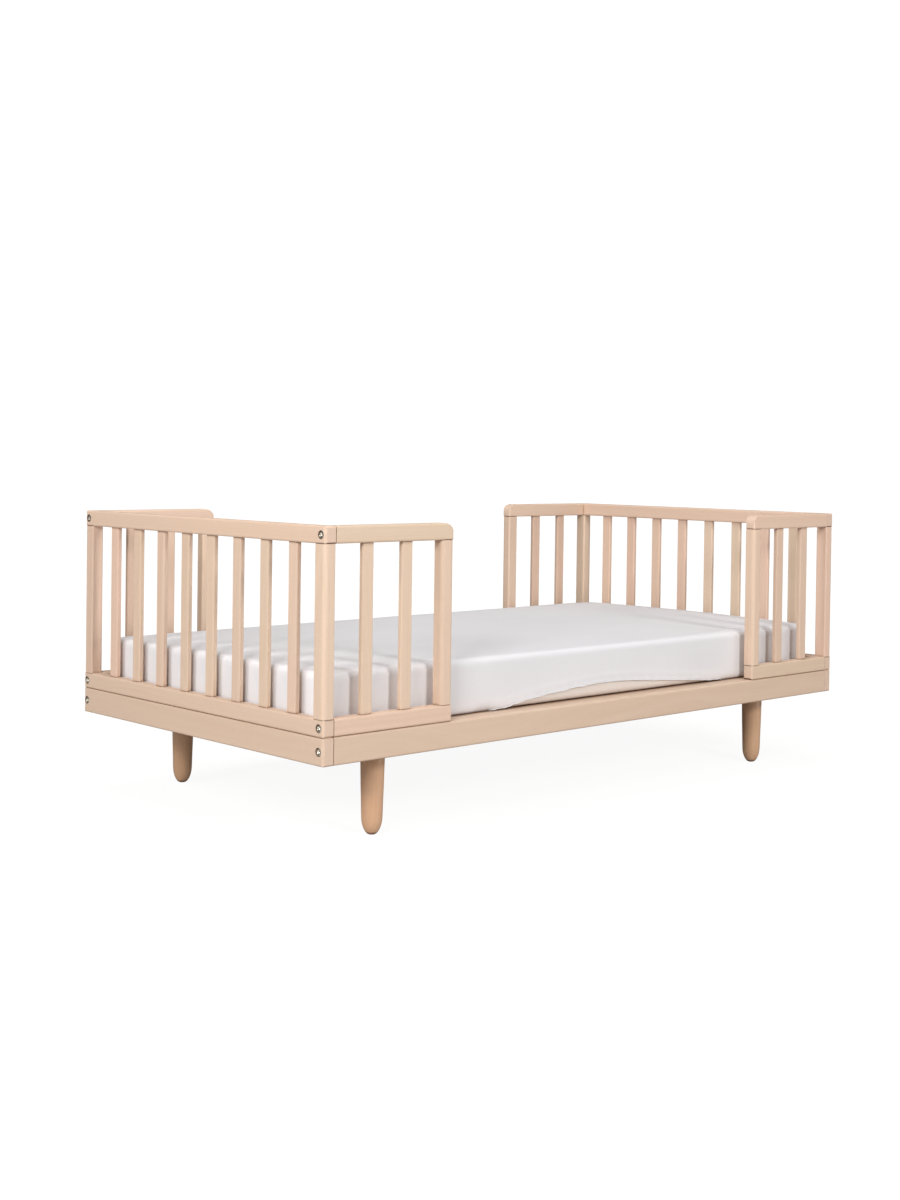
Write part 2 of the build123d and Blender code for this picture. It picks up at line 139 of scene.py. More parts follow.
ACROSS_THE_BED = ("beam", "end_top", "end_bottom", "end_rail")

# Studio
FLOOR_HALF = 6.0
FLOOR_SHARE = 0.72  # of what the camera sees of the floor, the part that glows evenly
FLOOR_GLOW, FLOOR_GLOW_FAR = 1.29, 1.45
GLOW_RISE = (0.9, 2.4)  # distances from the bed's middle between which the glow grows
BACKDROP = 1.05


def make_camera():
    yaw, pitch, roll = CAMERA_YAW, CAMERA_PITCH, CAMERA_ROLL
    level = Vector((math.cos(yaw), math.sin(yaw), 0))
    ahead = math.cos(pitch) * level + Vector((0, 0, math.sin(pitch)))
    level_right = ahead.cross(Vector((0, 0, 1))).normalized()
    level_up = level_right.cross(ahead)
    right = math.cos(roll) * level_right + math.sin(roll) * level_up
    up = math.cos(roll) * level_up - math.sin(roll) * level_right
    data = bpy.data.cameras.new("camera")
    data.sensor_width = SENSOR
    data.lens = FOCAL_PIXELS / IMAGE_HEIGHT * SENSOR
    data.shift_y = (CENTRE_Y - IMAGE_HEIGHT / 2) / IMAGE_HEIGHT
    data.clip_start, data.clip_end = 0.05, 60
    camera = bpy.data.objects.new("camera", data)
    bpy.context.scene.collection.objects.link(camera)
    turn = Matrix((right, up, -ahead)).transposed().to_4x4()
    camera.matrix_world = Matrix.Translation(CAMERA_PLACE) @ turn
    bpy.context.scene.camera = camera


class Graph:
    """Short calls for building one material's nodes."""

    def __init__(self, name):
        self.material = bpy.data.materials.new(name)
        self.material.use_nodes = True
        self.tree = self.material.node_tree
        self.tree.nodes.clear()
        self.output = self.tree.nodes.new("ShaderNodeOutputMaterial")

    def node(self, kind, inputs=None, **settings):
        made = self.tree.nodes.new(kind)
        for key, value in settings.items():
            setattr(made, key, value)
        for key, value in (inputs or {}).items():
            self.feed(made.inputs[key], value)
        return made

    def feed(self, socket, value):
        if isinstance(value, bpy.types.NodeSocket):
            self.tree.links.new(value, socket)
        else:
            socket.default_value = value

    def maths(self, operation, first, second=0.0):
        return self.node("ShaderNodeMath", {0: first, 1: second}, operation=operation).outputs[0]

    def vector(self, operation, first, second=(0, 0, 0)):
        made = self.node("ShaderNodeVectorMath", {0: first, 1: second}, operation=operation)
        return made.outputs["Value" if operation == "LENGTH" else "Vector"]

    def join(self, x, y, z):
        return self.node("ShaderNodeCombineXYZ", {0: x, 1: y, 2: z}).outputs[0]

    def place(self):
        return self.node("ShaderNodeTexCoord").outputs["Object"]

    def fact(self, name, output="Fac"):
        """An object's own property, such as its tint."""
        made = self.node("ShaderNodeAttribute", attribute_type="OBJECT", attribute_name=name)
        return made.outputs[output]

    def noise(self, place, scale=1.0, detail=2.0):
        inputs = {"Vector": place, "Scale": scale, "Detail": detail}
        return self.node("ShaderNodeTexNoise", inputs).outputs[0]

    def cells(self, place):
        return self.node("ShaderNodeTexVoronoi", {"Vector": place, "Scale": 1.0}, feature="F1").outputs

    def openness(self, reach):
        """1 in the open, and less where another surface comes within reach."""
        return self.node("ShaderNodeAmbientOcclusion", {"Distance": reach}, samples=6).outputs["AO"]

    def spread(self, value, low, high, to_low=0.0, to_high=1.0):
        inputs = {"Value": value, "From Min": low, "From Max": high, "To Min": to_low, "To Max": to_high}
        return self.node("ShaderNodeMapRange", inputs).outputs[0]

    def mix(self, share, first, second, blend="MIX"):
        made = self.node("ShaderNodeMix", data_type="RGBA", blend_type=blend)
        self.feed(made.inputs[0], share)
        self.feed(made.inputs[6], first)
        self.feed(made.inputs[7], second)
        return made.outputs[2]

    def bump(self, height, strength, distance):
        inputs = {"Height": height, "Strength": strength, "Distance": distance}
        return self.node("ShaderNodeBump", inputs).outputs[0]

    def surface(self, colour, normal, **sockets):
        shader = self.node("ShaderNodeBsdfPrincipled", {"Base Color": colour, "Normal": normal})
        for key, value in sockets.items():
            self.feed(shader.inputs[key.replace("_", " ")], value)
        self.tree.links.new(shader.outputs[0], self.output.inputs[0])
        return self.material


def scaled(colour, red, green, blue):
    return rgb(colour[0] * red, colour[1] * green, colour[2] * blue)


def beech(name, axis, pale, deep, roughness, gloss=0.32):
    """Beech with its grain along one axis: faint growth rings, soft streaks, fibres and ray flecks.
    The object property wood_shift sets where in the tree a piece comes from, wood_tint how warm it
    is and wood_tone how dark or light."""
    g = Graph(name)
    shift = g.fact("wood_shift", "Vector")
    tint, tone = g.fact("wood_tint"), g.fact("wood_tone")
    split = g.node("ShaderNodeSeparateXYZ", {0: g.vector("ADD", g.place(), shift)}).outputs
    order = {"X": (0, 1, 2), "Y": (1, 0, 2), "Z": (2, 0, 1)}[axis]
    along, across, inward = (split[i] for i in order)

    def stretched(lengthwise, sideways):
        """The place in the piece, for features of so many to a metre along the grain and across it."""
        return g.join(
            g.maths("MULTIPLY", along, lengthwise),
            g.maths("MULTIPLY", across, sideways),
            g.maths("MULTIPLY", inward, sideways),
        )

    drift = g.spread(g.noise(stretched(1.6, 5.0), detail=1.0), 0.25, 0.75, -0.012, 0.012)
    waver = g.spread(g.noise(stretched(7.0, 30.0), detail=2.0), 0.25, 0.75, -0.0012, 0.0012)
    ring_x = g.maths("ADD", across, g.maths("ADD", drift, waver))
    ring_y = g.maths("ADD", inward, drift)
    growth = g.maths("MULTIPLY", g.vector("LENGTH", g.join(ring_x, ring_y, 0.0)), RINGS_PER_METRE)
    inputs = {"W": growth, "Scale": 1.0, "Detail": 2.0}
    rings = g.node("ShaderNodeTexNoise", inputs, noise_dimensions="1D").outputs[0]
    rings = g.spread(rings, 0.32, 0.70)
    streaks = g.spread(g.noise(stretched(1.1, 34.0), detail=3.0), 0.30, 0.72)
    bands = g.spread(g.noise(stretched(0.9, 7.0), detail=1.0), 0.30, 0.70)
    fibres = g.noise(stretched(26.0, 1100.0), detail=2.0)
    cells = g.cells(stretched(210.0, 1250.0))
    draw = g.node("ShaderNodeSeparateColor", {0: cells["Color"]}).outputs[0]
    fleck = g.spread(cells["Distance"], 0.30, 0.10)
    flecks = g.maths("MULTIPLY", fleck, g.maths("GREATER_THAN", draw, 0.60))

    # Long grain
    shade = g.maths("ADD", g.maths("MULTIPLY", rings, RING_SHARE), g.maths("MULTIPLY", streaks, STREAK_SHARE))
    shade = g.maths("ADD", shade, g.maths("MULTIPLY", bands, BAND_SHARE))
    colour = g.mix(shade, pale, deep)
    warm = g.mix(1.0, colour, WARM, "MULTIPLY")
    yellow = g.mix(1.0, colour, YELLOW, "MULTIPLY")
    colour = g.mix(tint, yellow, warm)
    colour = g.mix(1.0, colour, g.join(tone, tone, tone), "MULTIPLY")
    colour = g.mix(g.spread(fibres, 0.35, 0.75, 0.0, FIBRE_SHARE), colour, deep)
    colour = g.mix(g.maths("MULTIPLY", flecks, FLECK_SHARE), colour, scaled(deep, 0.62, 0.54, 0.46))

    # End grain, darker and full of pores
    normal = g.node("ShaderNodeNewGeometry").outputs["Normal"]
    turn = {"vector_type": "NORMAL", "convert_from": "WORLD", "convert_to": "OBJECT"}
    turned = g.node("ShaderNodeVectorTransform", {0: normal}, **turn).outputs[0]
    facing = g.node("ShaderNodeSeparateXYZ", {0: turned}).outputs["XYZ".index(axis)]
    end_grain = g.spread(g.maths("ABSOLUTE", facing), 0.75, 0.97)
    pores = g.spread(g.cells(stretched(1.0, 2100.0))["Distance"], 0.40, 0.12)
    end_colour = g.mix(0.62, pale, deep)
    end_colour = g.mix(g.maths("MULTIPLY", pores, PORE_SHARE), end_colour, scaled(deep, 0.6, 0.5, 0.42))
    colour = g.mix(g.maths("MULTIPLY", end_grain, END_SHARE), colour, end_colour)

    # Painted shade: the wood darkens towards a deep brown where another surface is near, in joints and
    # corners
    painted_shade = g.spread(g.openness(PAINTED_SHADE_REACH), 0.76, 0.28, 0.0, 0.95)
    colour = g.mix(painted_shade, colour, scaled(deep, 0.34, 0.25, 0.19))
    relief = g.maths("SUBTRACT", g.maths("MULTIPLY", fibres, 0.6), g.maths("MULTIPLY", flecks, 0.7))
    rough = g.spread(streaks, 0.0, 1.0, roughness, roughness + 0.08)
    return g.surface(colour, g.bump(relief, 0.16, 0.0003), Roughness=rough, Specular_IOR_Level=gloss)


def metal(name, colour, roughness):
    """Zinc-plated steel with fine turning marks and faint stains."""
    g = Graph(name)
    place = g.place()
    marks = g.noise(g.vector("MULTIPLY", place, (900, 2600, 2600)), detail=2.0)
    stain = g.noise(g.vector("MULTIPLY", place, (160, 160, 160)), detail=3.0)
    tone = g.mix(g.spread(stain, 0.35, 0.75), colour, scaled(colour, 0.72, 0.70, 0.66))
    # Painted shade: the metal goes nearly black where another surface is near, in the sockets and round the
    # heads
    tone = g.mix(g.spread(g.openness(METAL_PAINTED_SHADE_REACH), 0.80, 0.35), tone, rgb(0.030, 0.024, 0.018))
    rough = g.spread(marks, 0.3, 0.7, roughness, roughness + 0.14)
    return g.surface(tone, g.bump(marks, 0.12, 0.0001), Metallic=1.0, Roughness=rough)


def woven(name, colour, shade, thread, sheen, relief):
    """Plain-weave cloth: over-and-under threads with slubs, and slow changes of tone."""
    g = Graph(name)
    place = g.place()
    waver = g.maths("MULTIPLY", g.noise(g.vector("MULTIPLY", place, (60, 60, 60)), detail=2.0), 0.0006)
    moved = g.vector("ADD", place, g.join(waver, waver, waver))
    turns = 2 * math.pi / thread
    x, y, z = g.node("ShaderNodeSeparateXYZ", {0: g.vector("MULTIPLY", moved, (turns, turns, turns))}).outputs
    weave = g.maths("MULTIPLY", g.maths("SINE", g.maths("ADD", x, z)), g.maths("SINE", g.maths("ADD", y, z)))
    slubs = g.noise(g.vector("MULTIPLY", place, (140, 1500, 1500)), detail=2.0)
    slubs_across = g.noise(g.vector("MULTIPLY", place, (1500, 140, 1500)), detail=2.0)
    slow = g.noise(g.vector("MULTIPLY", place, (5, 5, 9)), detail=2.0)
    tone = g.mix(g.spread(slow, 0.3, 0.7), colour, shade)
    # Painted shade: the cloth is darker where the weave's threads dip, in the low places of its bump
    tone = g.mix(g.spread(weave, -1.0, 1.0, 0.16, 0.0), tone, scaled(shade, 0.86, 0.85, 0.84))
    thick = g.maths("MAXIMUM", slubs, slubs_across)
    tone = g.mix(g.spread(thick, 0.62, 0.80, 0.0, 0.30), tone, rgb(1, 1, 1))
    height = g.maths("ADD", g.maths("MULTIPLY", weave, 0.5), g.maths("MULTIPLY", thick, 0.8))
    finish = {"Roughness": 0.86, "Specular_IOR_Level": 0.22, "Sheen_Weight": sheen, "Sheen_Roughness": 0.45}
    return g.surface(tone, g.bump(height, relief, 0.0003), **finish)


def grain_axis(name):
    """The way the grain runs in a wooden node."""
    if name == "base_slats" or any(word in name for word in ACROSS_THE_BED):
        return "Y"
    if "rail" in name or "ledger" in name:
        return "X"
    return "Z"


def wear(obj, material):
    obj.data.materials.clear()
    obj.data.materials.append(material)


def new_piece(name, bm, material, body):
    mesh = bpy.data.meshes.new(name)
    bmesh.ops.recalc_face_normals(bm, faces=bm.faces)
    bm.to_mesh(mesh)
    bm.free()
    obj = bpy.data.objects.new(name, mesh)
    bpy.context.scene.collection.objects.link(obj)
    for face in mesh.polygons:
        face.use_smooth = True
    wear(obj, material)
    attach(obj, body)
    return obj


def wood_facts(obj, name):
    """Gives a piece its own place in the tree and its own tint, the same on every run."""
    draw = random.Random(name)
    obj["wood_shift"] = [draw.uniform(*WOOD_SHIFT) * draw.choice((-1, 1)) for _ in range(3)]
    obj["wood_tint"] = draw.random()
    obj["wood_tone"] = draw.uniform(*WOOD_TONE)


def middle(name):
    low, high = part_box(name)
    return (low + high) / 2


# Solids of revolution


def ring(bm, radius, height, sides, place, turn, hexagon=False):
    """Points round an axis, on a circle or on the hexagon outside it."""
    made = []
    for i in range(sides):
        angle = 2 * math.pi * i / sides
        reach = radius
        if hexagon:
            reach /= math.cos((angle + math.pi / 6) % (math.pi / 3) - math.pi / 6)
        point = Vector((reach * math.cos(angle), reach * math.sin(angle), height))
        made.append(bm.verts.new(place + turn @ point))
    return made


def bridge(bm, first, second):
    count = len(first)
    for i in range(count):
        bm.faces.new((first[i], first[(i + 1) % count], second[(i + 1) % count], second[i]))


def skin(bm, rings):
    """Closed solid through rings about an axis."""
    for first, second in zip(rings, rings[1:]):
        bridge(bm, first, second)
    bm.faces.new(rings[0])
    bm.faces.new(rings[-1])


def cap_bolt(bm, place, turn, length):
    """Head with a hexagon socket at height 0 and its shank down to minus length."""
    top = -HEAD_SUNK
    rim = HEAD_RADIUS - HEAD_EDGE
    profile = [
        (SHANK_RADIUS * 0.75, -length),
        (SHANK_RADIUS, -length + SHANK_TAPER),
        (SHANK_RADIUS, top - HEAD_HEIGHT),
        (HEAD_RADIUS, top - HEAD_HEIGHT),
    ]
    for i in range(EDGE_STEPS + 1):
        angle = math.pi / 2 * i / EDGE_STEPS
        height = top - HEAD_DOME - HEAD_EDGE + HEAD_EDGE * math.sin(angle)
        profile.append((rim + HEAD_EDGE * math.cos(angle), height))
    profile.append((rim * 0.8, top - HEAD_DOME * 0.45))
    socket = [(SOCKET + SOCKET_EASE, top), (SOCKET, top - SOCKET_EASE), (SOCKET, top - SOCKET_DEPTH)]
    rings = [ring(bm, radius, height, HEAD_SIDES, place, turn) for radius, height in profile]
    rings += [ring(bm, radius, height, HEAD_SIDES, place, turn, hexagon=True) for radius, height in socket]
    rings.append(ring(bm, SOCKET * 0.3, top - SOCKET_DEPTH - SOCKET_POINT, HEAD_SIDES, place, turn))
    skin(bm, rings)


# Mattress and sheet


def steps(low, high, count):
    return [low + (high - low) * i / count for i in range(count + 1)]


def outline(half_x, half_y, corner):
    """Round a rounded rectangle: each place's centre of rounding and its way out. A side faces its
    turn, in half turns from +X."""
    flat_x, flat_y = half_x - corner, half_y - corner
    xs = steps(-flat_x, flat_x, round(2 * flat_x / GRID_STEP))
    ys = steps(-flat_y, flat_y, round(2 * flat_y / GRID_STEP))
    sides = [
        [(flat_x, y, 0.0) for y in ys],
        [(x, flat_y, 0.5) for x in reversed(xs)],
        [(-flat_x, y, 1.0) for y in reversed(ys)],
        [(x, -flat_y, 1.5) for x in xs],
    ]
    places = []
    for number, side in enumerate(sides):
        for x, y, turn in side:
            angle = turn * math.pi
            places.append((x, y, math.cos(angle), math.sin(angle)))
        x, y, _ = side[-1]
        for i in range(1, CORNER_STEPS):
            angle = (number + i / CORNER_STEPS) * math.pi / 2
            places.append((x, y, math.cos(angle), math.sin(angle)))
    return places, xs, ys


TOP_ARC, LOW_ARC = TOP_EDGE * math.pi / 2, LOW_EDGE * math.pi / 2


def profile_point(distance, height):
    """Inset and height at a distance from where the top edge's round begins, down and under."""
    straight = height - TOP_EDGE - LOW_EDGE
    if distance < TOP_ARC:
        angle = distance / TOP_EDGE
        return TOP_EDGE * (1 - math.sin(angle)), height - TOP_EDGE * (1 - math.cos(angle))
    distance -= TOP_ARC
    if distance < straight:
        return 0.0, height - TOP_EDGE - distance
    distance -= straight
    if distance < LOW_ARC:
        angle = distance / LOW_EDGE
        return LOW_EDGE * (1 - math.cos(angle)), LOW_EDGE * (1 - math.sin(angle))
    return LOW_EDGE + distance - LOW_ARC, 0.0


def wrap_distance(level):
    """Distance down the wrap at which the sheet is at a height over the mattress's underside."""
    straight = SHEET_HEIGHT - TOP_EDGE - LOW_EDGE
    if level > LOW_EDGE:
        return TOP_ARC + SHEET_HEIGHT - TOP_EDGE - level
    return TOP_ARC + straight + LOW_EDGE * math.asin(1 - level / LOW_EDGE)


def smooth(share):
    share = min(max(share, 0.0), 1.0)
    return share * share * (3 - 2 * share)


def along_line(points, x):
    """Smooth curve through (x, value) points."""
    if x <= points[0][0]:
        return points[0][1]
    for i, ((x0, y0), (x1, y1)) in enumerate(zip(points, points[1:])):
        if x <= x1:
            before = points[max(i - 1, 0)]
            after = points[min(i + 2, len(points) - 1)]
            slope0 = (y1 - before[1]) / (x1 - before[0])
            slope1 = (after[1] - y0) / (after[0] - x0)
            span, t = x1 - x0, (x - x0) / (x1 - x0)
            a = 2 * t**3 - 3 * t**2 + 1
            b = t**3 - 2 * t**2 + t
            c = -2 * t**3 + 3 * t**2
            d = t**3 - t**2
            return a * y0 + b * span * slope0 + c * y1 + d * span * slope1
    return points[-1][1]


sheet_low, sheet_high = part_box("fitted_sheet")
SHEET_BOTTOM = sheet_low.z
SHEET_HEIGHT = sheet_high.z - sheet_low.z - SHEET_CROWN
HALF_X, HALF_Y = sheet_high.x, sheet_high.y
FULL_WRAP = TOP_ARC + SHEET_HEIGHT - TOP_EDGE - LOW_EDGE + LOW_ARC + SHEET_UNDER
HEM_LINE = [(x, wrap_distance(level)) for x, level in HEM_HEIGHTS]
HEM_LINE = [(HEM_LINE[0][0] - HEM_RUN_OUT, FULL_WRAP), *HEM_LINE, (HEM_LINE[-1][0] + HEM_RUN_OUT, FULL_WRAP)]


def drawn(point, raised):
    """The crown of the top and the sides' slight draw, as on the CAD solid. raised is 0 at the
    bottom and 1 at the top."""
    x, y, z = point
    across = 1 - (y / HALF_Y) ** 2
    lengthwise = 1 - (x / HALF_X) ** 2
    z += SHEET_CROWN * raised * max(across, 0.0)
    y *= 1 - SHEET_DRAW / HALF_Y * max(lengthwise, 0.0)
    return Vector((x, y, z))


def ridge(point, start, end, width, height):
    """Height of a soft fold that runs from start to end on the top and fades at both ends."""
    run = Vector(end) - Vector(start)
    offset = Vector(point[:2]) - Vector(start)
    share = offset.dot(run) / run.length_squared
    if not -0.2 < share < 1.2:
        return 0.0
    aside = abs(offset.x * run.y - offset.y * run.x) / run.length
    fade = smooth((share + 0.2) / 0.5) * smooth((1.2 - share) / 0.5)
    return height * fade * math.exp(-((aside / width) ** 2))


def wrinkles(point, out, distance, hem):
    """How far the cloth stands out from its smooth form, for a point at a distance down the wrap."""
    x, y, z = point
    slow = noise.noise(Vector((x * 3.1, y * 4.3, z * 5.0)))
    lift = 0.0007 * slow
    lift += 0.0005 * noise.noise(Vector((x * 11.0, y * 13.0, z * 9.0 + 4.0)))
    if distance <= 0:
        return lift + sum(ridge(point, *fold) for fold in TOP_FOLDS)
    down = smooth(distance / 0.05)  # the sides' own folds start below the top edge
    along = x if abs(out[1]) > abs(out[0]) else y
    lift += 0.0009 * down * noise.noise(Vector((along * 16.0, z * 3.0, 7.0)))
    corner = 1 - abs(abs(out[0]) - abs(out[1]))
    if corner > 0.01:
        angle = math.atan2(abs(out[1]), abs(out[0]))
        gather = math.sin(angle * 22.0 + 40 * slow)
        lift += 0.0011 * corner * down * gather
    from_hem = hem - distance
    raised = smooth((0.122 - hem) / 0.022)  # 1 where the hem has ridden up the side
    ruffle = math.sin(along * 210.0 + 3.0 * noise.noise(Vector((along * 9.0, 0.0, 2.0))))
    lift += raised * math.exp(-from_hem / 0.012) * (0.0014 + 0.0008 * ruffle)
    lift += raised * math.exp(-(((from_hem - 0.013) / 0.005) ** 2)) * 0.0007
    return lift


def hem_distance(place):
    """Length of the wrap at a place of the outline. Only the near side's hem has ridden up."""
    x, y, out_x, out_y = place
    if out_y > -0.99:
        return FULL_WRAP + 0.004 * math.sin(40 * (x + y) + 3 * out_x)
    waver = 0.0012 * noise.noise(Vector((x * 30.0, 3.0, 0.0)))
    waver += 0.0003 * noise.noise(Vector((x * 80.0, 8.0, 0.0)))
    return min(along_line(HEM_LINE, x) + waver, FULL_WRAP)


def top_grid(bm, xs, ys, position):
    return {(i, j): bm.verts.new(position(x, y)) for i, x in enumerate(xs) for j, y in enumerate(ys)}


def grid_faces(bm, grid, columns, rows):
    for i in range(columns - 1):
        for j in range(rows - 1):
            bm.faces.new((grid[i, j], grid[i + 1, j], grid[i + 1, j + 1], grid[i, j + 1]))


def stitch(bm, first, second):
    """Faces between two rings, where the second may repeat a vertex at a corner."""
    count = len(first)
    for i in range(count):
        k = (i + 1) % count
        if second[i] is second[k]:
            bm.faces.new((first[i], first[k], second[i]))
        else:
            bm.faces.new((first[i], first[k], second[k], second[i]))


def border(grid, xs, ys, places):
    """The grid's vertex at each outline place's centre of rounding."""
    column = {round(x, 6): i for i, x in enumerate(xs)}
    row = {round(y, 6): j for j, y in enumerate(ys)}
    return [grid[column[round(x, 6)], row[round(y, 6)]] for x, y, _, _ in places]


def build_sheet(material):
    places, xs, ys = outline(HALF_X, HALF_Y, SHEET_CORNER)
    bm = bmesh.new()

    def on_top(x, y):
        point = drawn((x, y, SHEET_BOTTOM + SHEET_HEIGHT), 1.0)
        point.z += wrinkles((x, y, SHEET_HEIGHT), (0, 0), 0.0, FULL_WRAP)
        return point

    grid = top_grid(bm, xs, ys, on_top)
    grid_faces(bm, grid, len(xs), len(ys))
    rings = [border(grid, xs, ys, places)]
    for share in reversed(TOP_ROWS):
        reach = SHEET_CORNER - (TOP_EDGE + (SHEET_CORNER - TOP_EDGE) * share)
        rings.append([bm.verts.new(on_top(x + reach * ox, y + reach * oy)) for x, y, ox, oy in places])
    hems = [hem_distance(place) for place in places]
    for row in range(1, WRAP_ROWS + 1):
        made = []
        for (x, y, ox, oy), hem in zip(places, hems):
            distance = hem * row / WRAP_ROWS
            inset, height = profile_point(distance, SHEET_HEIGHT)
            reach = SHEET_CORNER - inset
            side_x, side_y = x + reach * ox, y + reach * oy
            point = drawn((side_x, side_y, SHEET_BOTTOM + height), height / SHEET_HEIGHT)
            ahead_inset, ahead_height = profile_point(distance + 0.001, SHEET_HEIGHT)
            tangent = Vector((inset - ahead_inset, ahead_height - height))
            outward = Vector((-tangent.y, tangent.x)).normalized()
            lift = wrinkles((side_x, side_y, height), (ox, oy), distance, hem)
            if height < FLAT_BELOW:
                lift = 0.0
            point += Vector((ox, oy, 0)) * outward.x * lift
            point.z += outward.y * lift
            made.append(bm.verts.new(point))
        rings.append(made)
    for first, second in zip(rings[1:], rings):
        stitch(bm, first, second)
    hem_line = [vert.co.copy() for vert in rings[-1]]
    return new_piece("sheet", bm, material, "bedding"), hem_line


def build_mattress(material):
    half_x, half_y = HALF_X - MATTRESS_INSET, HALF_Y - MATTRESS_INSET
    places, xs, ys = outline(half_x, half_y, SHEET_CORNER)
    height = SHEET_HEIGHT - MATTRESS_INSET - MATTRESS_SINK
    low = SHEET_BOTTOM + MATTRESS_SINK
    bm = bmesh.new()
    top = top_grid(bm, xs, ys, lambda x, y: drawn((x, y, low + height), 1.0))
    bottom = top_grid(bm, xs, ys, lambda x, y: Vector((x, y, low)))
    grid_faces(bm, top, len(xs), len(ys))
    grid_faces(bm, bottom, len(xs), len(ys))
    rings = [border(top, xs, ys, places)]
    wrap = TOP_ARC + height - TOP_EDGE - LOW_EDGE + LOW_ARC
    for row in range(WRAP_ROWS + 1):
        made = []
        for x, y, ox, oy in places:
            inset, level = profile_point(wrap * row / WRAP_ROWS, height)
            reach = SHEET_CORNER - inset
            made.append(bm.verts.new(drawn((x + reach * ox, y + reach * oy, low + level), level / height)))
        rings.append(made)
    for first, second in zip(rings[1:], rings):
        stitch(bm, first, second)
    stitch(bm, rings[-1], border(bottom, xs, ys, places))
    return new_piece("mattress_core", bm, material, "bedding")


def build_hem(line, material):
    """The rolled elastic edge along the sheet's hem."""
    bm = bmesh.new()
    count = len(line)
    rings = []
    for i, point in enumerate(line):
        run = (line[(i + 1) % count] - line[i - 1]).normalized()
        side = run.cross(Vector((0, 0, 1))).normalized()
        up = side.cross(run)
        size = HEM_TUBE * (1 + 0.12 * math.sin(i * 1.9))
        lift = max(SHEET_BOTTOM + size * HEM_FLATNESS - point.z, 0.0)
        made = []
        for k in range(HEM_TUBE_SIDES):
            angle = 2 * math.pi * k / HEM_TUBE_SIDES
            turn = side * math.cos(angle) * size + up * math.sin(angle) * size * HEM_FLATNESS
            made.append(bm.verts.new(point + turn + Vector((0, 0, lift))))
        rings.append(made)
    for i in range(count):
        bridge(bm, rings[i], rings[(i + 1) % count])
    return new_piece("sheet_hem", bm, material, "bedding")


# Finishes
PALE, DEEP = rgb(0.785, 0.605, 0.490), rgb(0.708, 0.518, 0.402)
# The turned legs' beech is darker and redder than the frame's: partly painted shade, for the shade under the
# bed
LEG_PALE, LEG_DEEP = rgb(0.740, 0.470, 0.310), rgb(0.642, 0.373, 0.230)
woods = {axis: beech(f"beech_{axis.lower()}", axis, PALE, DEEP, 0.52) for axis in "XYZ"}
leg_wood = beech("beech_turned", "Z", LEG_PALE, LEG_DEEP, 0.36, 0.62)
dowel_wood = beech("beech_dowel", "X", PALE, DEEP, 0.6)
zinc = metal("zinc_steel", rgb(0.66, 0.62, 0.54), 0.24)
cotton = woven("sheet_cotton", rgb(0.815, 0.800, 0.815), rgb(0.785, 0.770, 0.785), 0.0009, 0.08, 0.10)
hem_cotton = woven("hem_cotton", rgb(0.830, 0.820, 0.820), rgb(0.790, 0.780, 0.780), 0.0007, 0.25, 0.16)
ticking = woven("mattress_ticking", rgb(0.800, 0.730, 0.680), rgb(0.760, 0.680, 0.625), 0.0014, 0.10, 0.25)


def soften(node):
    """Rounds the machined edges a little, as sanding does."""
    weld = node.modifiers.new("weld", "WELD")
    weld.merge_threshold = WELD_REACH
    edges = node.modifiers.new("sanded_edges", "BEVEL")
    edges.width = SOFT_EDGE
    edges.segments = 2
    edges.limit_method = "ANGLE"
    edges.angle_limit = EDGE_ANGLE
    edges.use_clamp_overlap = True
    for face in node.data.polygons:
        face.use_smooth = True
    node.modifiers.new("even_normals", "WEIGHTED_NORMAL").keep_sharp = False


for name, node in nodes.items():
    if name in METAL_NODES:
        wear(node, zinc)
    elif name == "joint_dowels":
        wear(node, dowel_wood)
        wood_facts(node, name)
    elif name not in ("mattress", "fitted_sheet"):
        wear(node, woods[grain_axis(name)])
        wood_facts(node, name)
        soften(node)

for side in ("left", "right"):
    for depth in ("near", "far"):
        name = f"{side}_{depth}_leg"
        foot = Vector((*middle(name).xy, 0))
        upright = Matrix.Identity(3)
        bm = bmesh.new()
        skin(bm, [ring(bm, radius, height, LEG_SIDES, foot, upright) for radius, height in LEG_PROFILE])
        leg = new_piece(f"{name}_turned", bm, leg_wood, "frame")
        wood_facts(leg, name)
        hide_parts(name)

end_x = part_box("left_end_top_rail")[0].x
bolt_y = middle("left_near_return_top_rail").y
levels = [middle(f"left_{rail}").z for rail in ("end_top_rail", "end_bottom_rail", "base_end_rail")]
bm = bmesh.new()
for way in (-1, 1):
    turn = Matrix(((0, 0, way), (0, 1, 0), (-way, 0, 0)))
    for side in (-1, 1):
        for level in levels:
            cap_bolt(bm, Vector((way * -end_x, side * bolt_y, level)), turn, CONNECTOR_LENGTH)
bolts = new_piece("connector_bolts_round", bm, zinc, "frame")
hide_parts("connector_bolts")

sheet, hem_line = build_sheet(cotton)
thick = sheet.modifiers.new("thickness", "SOLIDIFY")
thick.thickness = SHEET_THICKNESS
thick.offset = -1
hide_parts("fitted_sheet")
hem = build_hem(hem_line, hem_cotton)
mattress = build_mattress(ticking)
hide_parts("mattress")


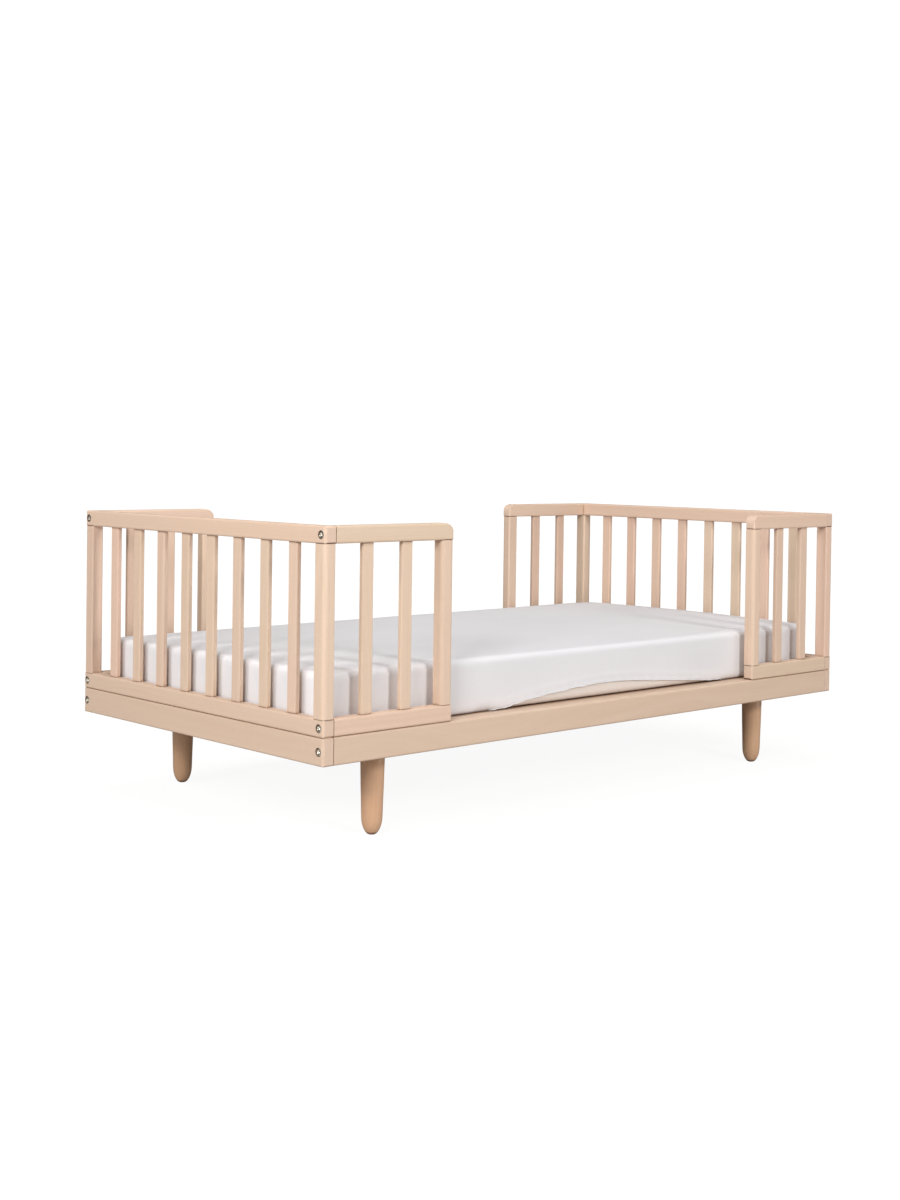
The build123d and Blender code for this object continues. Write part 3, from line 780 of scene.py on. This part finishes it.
def make_floor():
    bm = bmesh.new()
    bmesh.ops.create_grid(bm, x_segments=2, y_segments=2, size=FLOOR_HALF)
    mesh = bpy.data.meshes.new("floor")
    bm.to_mesh(mesh)
    bm.free()
    floor = bpy.data.objects.new("floor", mesh)
    bpy.context.scene.collection.objects.link(floor)
    g = Graph("floor_paper")
    place = g.place()
    tooth = g.spread(g.noise(place, scale=60.0, detail=2.0), 0.3, 0.7)
    grey = g.mix(tooth, rgb(0.46, 0.45, 0.44), rgb(0.48, 0.47, 0.46))
    paper = g.node("ShaderNodeBsdfDiffuse", {"Color": grey})
    far = g.spread(g.vector("LENGTH", place), *GLOW_RISE, FLOOR_GLOW, FLOOR_GLOW_FAR)
    glow = g.node("ShaderNodeEmission", {"Color": rgb(1, 1, 1), "Strength": far})
    seen = g.maths("MULTIPLY", g.node("ShaderNodeLightPath").outputs["Is Camera Ray"], FLOOR_SHARE)
    both = g.node("ShaderNodeMixShader", {0: seen, 1: paper.outputs[0], 2: glow.outputs[0]})
    g.tree.links.new(both.outputs[0], g.output.inputs[0])
    mesh.materials.append(g.material)


def make_world(strength):
    """Soft light from all round, and a white backdrop that only the camera sees."""
    world = bpy.data.worlds.new("studio")
    world.use_nodes = True
    tree = world.node_tree
    tree.nodes.clear()
    output = tree.nodes.new("ShaderNodeOutputWorld")
    path = tree.nodes.new("ShaderNodeLightPath")
    mix = tree.nodes.new("ShaderNodeMixShader")
    tree.links.new(path.outputs["Is Camera Ray"], mix.inputs[0])
    for socket, glow in ((1, strength), (2, BACKDROP)):
        background = tree.nodes.new("ShaderNodeBackground")
        background.inputs[0].default_value = rgb(1.0, 1.0, 1.0)
        background.inputs[1].default_value = glow
        tree.links.new(background.outputs[0], mix.inputs[socket])
    tree.links.new(mix.outputs[0], output.inputs[0])
    bpy.context.scene.world = world


def softbox(name, place, target, size, power):
    data = bpy.data.lights.new(name, "AREA")
    data.shape = "RECTANGLE"
    data.size, data.size_y = size
    data.energy = power
    light = bpy.data.objects.new(name, data)
    bpy.context.scene.collection.objects.link(light)
    light.location = place
    light.rotation_euler = (Vector(target) - Vector(place)).to_track_quat("-Z", "Y").to_euler()


WORLD_LIGHT = 0.066
SOFTBOXES = (  # name, place, target, size, power
    ("key", (-3.4, -1.9, 2.1), (-0.4, 0, 0.3), (1.2, 1.2), 74.0),
    ("front", (-0.2, -4.2, 2.1), (0.1, 0, 0.3), (0.85, 0.85), 81.0),
    ("low_right", (2.2, -3.8, 0.6), (0, 0, 0.15), (1.6, 0.9), 26.0),
    ("overhead", (0, 0.3, 3.4), (0, 0, 0), (3, 2), 55.0),
    ("left", (-4.2, 0.2, 1.6), (-0.4, 0, 0.3), (1.2, 1.2), 51.2),
)
make_floor()
make_world(WORLD_LIGHT)
for light in SOFTBOXES:
    softbox(*light)
bpy.context.scene.view_settings.view_transform = "Standard"
make_camera()
